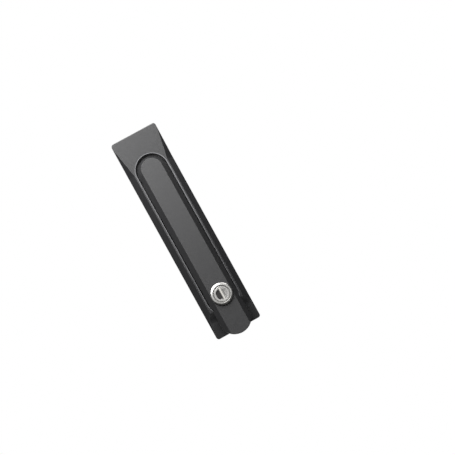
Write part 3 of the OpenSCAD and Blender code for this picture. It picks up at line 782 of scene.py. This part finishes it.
@dataclass
class Lock:
    """The keyed cylinder in the lever's low end."""

    face_rise: float = 2.1 * MM

    def build(self) -> None:
        """Dresses the lock's nodes."""
        key = next(joint for joint in frame["joints"] if joint["name"] == "key_turn")
        axis = tuple(key["axis"])
        centre = tuple(Vector(key["pos_m"]) - self.face_rise * Vector(axis))
        # Painted shade darkens the groove in the ring.
        dress_node("lock_sleeve", Turned(
            "ring nickel", Tone.NICKEL.value, roughness=0.24, centre=centre, axis=axis,
            depth=0.008 * MM, sunk=0.75, sunk_from=0.36 * MM, sunk_to=0.60 * MM,
            recess_shade_colour=(0.20, 0.197, 0.19),
        ))
        # Painted shade darkens the recesses in the plug's face.
        dress_node("lock_plug", Turned(
            "plug nickel", Tone.NICKEL.value, roughness=0.24, centre=centre, axis=axis,
            depth=0.010 * MM, sunk=0.97, sunk_from=0.0, sunk_to=0.43 * MM,
        ))
        dress_node("keyway_flap", Plated(
            "flap nickel", Tone.BRIGHT_NICKEL.value, roughness=0.22
        ))
        dress_node("wafers", Plated(
            "wafer brass", Tone.BRASS.value, roughness=0.34, tint_share=0.1
        ))
        dress_node("lock_seal", Moulded("seal rubber", Tone.RUBBER.value, roughness=0.60))
        for name in ("sleeve_clip", "flap_spring"):
            dress_node(name, Plated("spring steel", Tone.SPRING.value, roughness=0.32))
        dress_node("lock_tongue", Plated("tongue zinc", Tone.ZINC.value, roughness=0.36))
        dress_node("tongue_screw", Turned(
            "screw zinc", Tone.ZINC.value, roughness=0.34, centre=centre, axis=axis,
        ))


@dataclass(frozen=True)
class Lamp:
    """One soft lamp that faces the lock: its place, its width and height, its power."""

    name: str
    place: Point
    size: tuple[float, float]
    watts: float

    def hang(self) -> None:
        """Makes the lamp. The camera doesn't see it."""
        data = bpy.data.lights.new(self.name, "AREA")
        data.shape = "RECTANGLE"
        data.size, data.size_y = self.size
        data.energy = self.watts
        lamp = bpy.data.objects.new(self.name, data)
        lamp.location = self.place
        lamp.rotation_euler = (-Vector(self.place)).to_track_quat("-Z", "Y").to_euler()
        lamp.visible_camera = False
        bpy.context.scene.collection.objects.link(lamp)


@dataclass(frozen=True)
class Card:
    """One dark card by the lock: its centre, and from there to one side and to the next."""

    name: str
    centre: Point
    across: Point
    along: Point

    def corners(self) -> list[Point]:
        """Returns the card's corners in order."""
        middle, side, end = Vector(self.centre), Vector(self.across), Vector(self.along)
        signs = ((-1, -1), (1, -1), (1, 1), (-1, 1))
        return [tuple(middle + u * side + v * end) for u, v in signs]


@dataclass
class Studio:
    """A plain pale floor, soft light and dark cards beside the lock.

    The levels are those of white for what lights the lock, of the cards, of the floor's
    own colour, and of the white that the floor adds where it is seen.
    """

    world_level: float = 0.42
    card_level: float = 0.075
    floor_level: float = 0.88
    floor_white: float = 0.5
    floor_z: float = -0.6
    floor_r: float = 1.2
    floor_steps: int = 96
    lamps: tuple[Lamp, ...] = (
        Lamp("key", (-0.06, -0.25, 0.28), (0.25, 0.50), 3.5),
        Lamp("side", (0.30, -0.32, 0.28), (0.10, 0.30), 0.35),
        Lamp("back", (0.35, 1.40, 0.55), (1.0, 1.0), 12.0),
    )
    cards: tuple[Card, ...] = (
        Card("left card", (-0.27, 0.00, -0.16), (0.0, 0.40, 0.0), (0.0, 0.0, 0.33)),
        Card("right card", (0.24, 0.02, -0.18), (0.0, 0.40, 0.0), (0.0, 0.0, 0.30)),
        Card("low card", (0.0, -0.32, -0.12), (0.36, 0.0, 0.0), (0.0, -0.30, 0.0)),
    )

    def build(self) -> None:
        """Sets up the world, the floor, the lamps and the cards."""
        bpy.context.scene.view_settings.view_transform = "Standard"
        self._world()
        self._floor()
        for lamp in self.lamps:
            lamp.hang()
        for card in self.cards:
            self._stand(card)

    @staticmethod
    def _seen(graph: Graph) -> Socket:
        """Returns 1 for rays that show the background itself, and 0 for the others."""
        names = ("Is Camera Ray", "Is Glossy Ray", "Is Transmission Ray")
        camera, glossy, through = (
            graph.add("ShaderNodeLightPath", output=name) for name in names
        )
        return camera.at_least(glossy).at_least(through)

    def _world(self) -> None:
        """Makes the white background, and a softer level for what lights the lock."""
        world = bpy.data.worlds.new("studio")
        world.use_nodes = True
        bpy.context.scene.world = world
        graph = Graph(world.node_tree)
        seen = self._seen(graph)
        strength = self.world_level + (1.0 - self.world_level) * seen
        white = graph.add(
            "ShaderNodeBackground", None, {"Color": WHITE, "Strength": strength}
        )
        graph.add("ShaderNodeOutputWorld", None, {"Surface": white})

    def _floor(self) -> None:
        """Lays the floor, a round pale sheet."""
        material = bpy.data.materials.new("floor")
        material.use_nodes = True
        graph = Graph(material.node_tree)
        level = self.floor_level
        pale = graph.add("ShaderNodeBsdfDiffuse", None, {"Color": (level, level, level, 1.0)})
        white = graph.add("ShaderNodeEmission", None, {"Strength": 1.0})
        share = self.floor_white * self._seen(graph)
        both = graph.add("ShaderNodeMixShader", None, {0: share, 1: pale, 2: white})
        graph.add("ShaderNodeOutputMaterial", None, {"Surface": both})
        angles = [2 * math.pi * k / self.floor_steps for k in range(self.floor_steps)]
        self._sheet("floor", material, [
            (self.floor_r * math.cos(angle), self.floor_r * math.sin(angle), self.floor_z)
            for angle in angles
        ])

    def _stand(self, card: Card) -> None:
        """Stands a dark card by the lock. The camera doesn't see it.

        Args:
            card: The card.
        """
        material = bpy.data.materials.new(card.name)
        material.use_nodes = True
        graph = Graph(material.node_tree)
        dark = graph.add(
            "ShaderNodeEmission", None, {"Color": WHITE, "Strength": self.card_level}
        )
        graph.add("ShaderNodeOutputMaterial", None, {"Surface": dark})
        self._sheet(card.name, material, card.corners()).visible_camera = False

    @staticmethod
    def _sheet(name: str, material: bpy.types.Material,
               corners: Sequence[Point]) -> bpy.types.Object:
        """Makes one flat sheet of the studio.

        Args:
            name: Its name.
            material: Its material.
            corners: Its corners.

        Returns:
            The object.
        """
        mesh = bpy.data.meshes.new(name)
        mesh.from_pydata(corners, [], [tuple(range(len(corners)))])
        mesh.materials.append(material)
        sheet = bpy.data.objects.new(name, mesh)
        bpy.context.scene.collection.objects.link(sheet)
        return sheet


@dataclass
class Viewpoint:
    """The camera, where the photograph was taken from.

    It looks at the target from the azimuth, leans by the tilt, and is moved sideways until
    the lock's middle lies at middle_px of a picture that is picture_px wide and high.
    """

    picture_px: int = 455
    middle_px: tuple[float, float] = (186.0, 231.4)
    azimuth: float = math.radians(-4.5)
    tilt: float = math.radians(28.98)
    distance: float = 0.9705
    lens: float = 100.0
    sensor: float = 36.0
    target: Point = (0.0, -4.0 * MM, 0.0)

    def build(self) -> None:
        """Makes the camera and aims it."""
        back = Vector((math.sin(self.azimuth), -math.cos(self.azimuth), 0.0))
        up_hint = Vector((math.sin(self.tilt), 0.0, math.cos(self.tilt)))
        right = up_hint.cross(back).normalized()
        up = back.cross(right).normalized()
        pixel = self.sensor / self.lens * self.distance / self.picture_px
        shift_right = (self.picture_px / 2 - self.middle_px[0]) * pixel
        shift_up = (self.middle_px[1] - self.picture_px / 2) * pixel
        aim = Vector(self.target) + right * shift_right + up * shift_up
        data = bpy.data.cameras.new("camera")
        data.sensor_width = self.sensor
        data.lens = self.lens
        camera = bpy.data.objects.new("camera", data)
        turn = Matrix((right, up, back)).transposed().to_4x4()
        camera.matrix_world = Matrix.Translation(aim + back * self.distance) @ turn
        bpy.context.scene.collection.objects.link(camera)
        bpy.context.scene.camera = camera
        LOG.info("camera stands at %s", tuple(round(c, 3) for c in camera.matrix_world.col[3]))


def main() -> None:
    """Builds the lock's looks, the studio and the camera in order."""
    logging.basicConfig(level=logging.INFO, format="%(name)s: %(message)s")
    for piece in (Dish(), SpindleStack(), Lever(), Lock(), Studio(), Viewpoint()):
        piece.build()
        LOG.info("built %s", type(piece).__name__)


if __name__ == "__main__":
    main()
